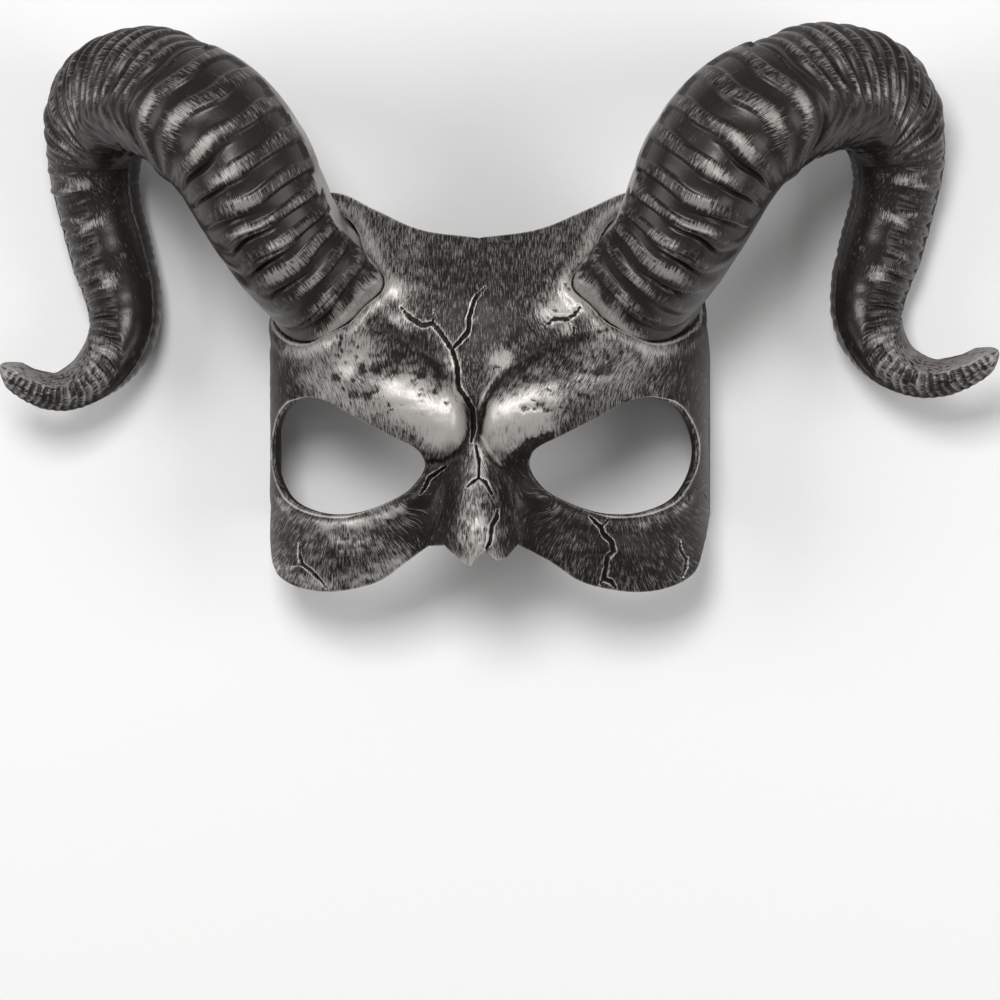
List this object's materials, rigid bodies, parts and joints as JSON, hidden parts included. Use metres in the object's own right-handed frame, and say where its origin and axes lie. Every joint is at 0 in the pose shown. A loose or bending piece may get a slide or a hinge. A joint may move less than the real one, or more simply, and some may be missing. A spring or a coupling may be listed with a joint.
{
  "type": "horned half mask",
  "caption": "Costume half mask for brow, eyes and nose, cracked and scowling, with two curled ridged ram's horns on its forehead.",
  "frame": {"origin": "middle of the box's underside: the floor that the mask lies on, under its middle", "axes": "the mask lies on its back: +X is the viewer's right, +Y runs up the face to the horns and +Z comes out of the face"},
  "size_m": [0.3362, 0.1914, 0.0971],
  "materials": {
    "shell_finish": "black moulded plastic, dry-brushed with dark silver that is brightest on the brows and rubbed thin in the hollows",
    "horn_finish": "warm black moulded plastic with a slight sheen, streaked with silver on the ridges"
  },
  "bodies": {
    "root": {"mask_shell": "shell_finish", "horn_left": "horn_finish", "horn_right": "horn_finish"}
  },
  "joints": []
}
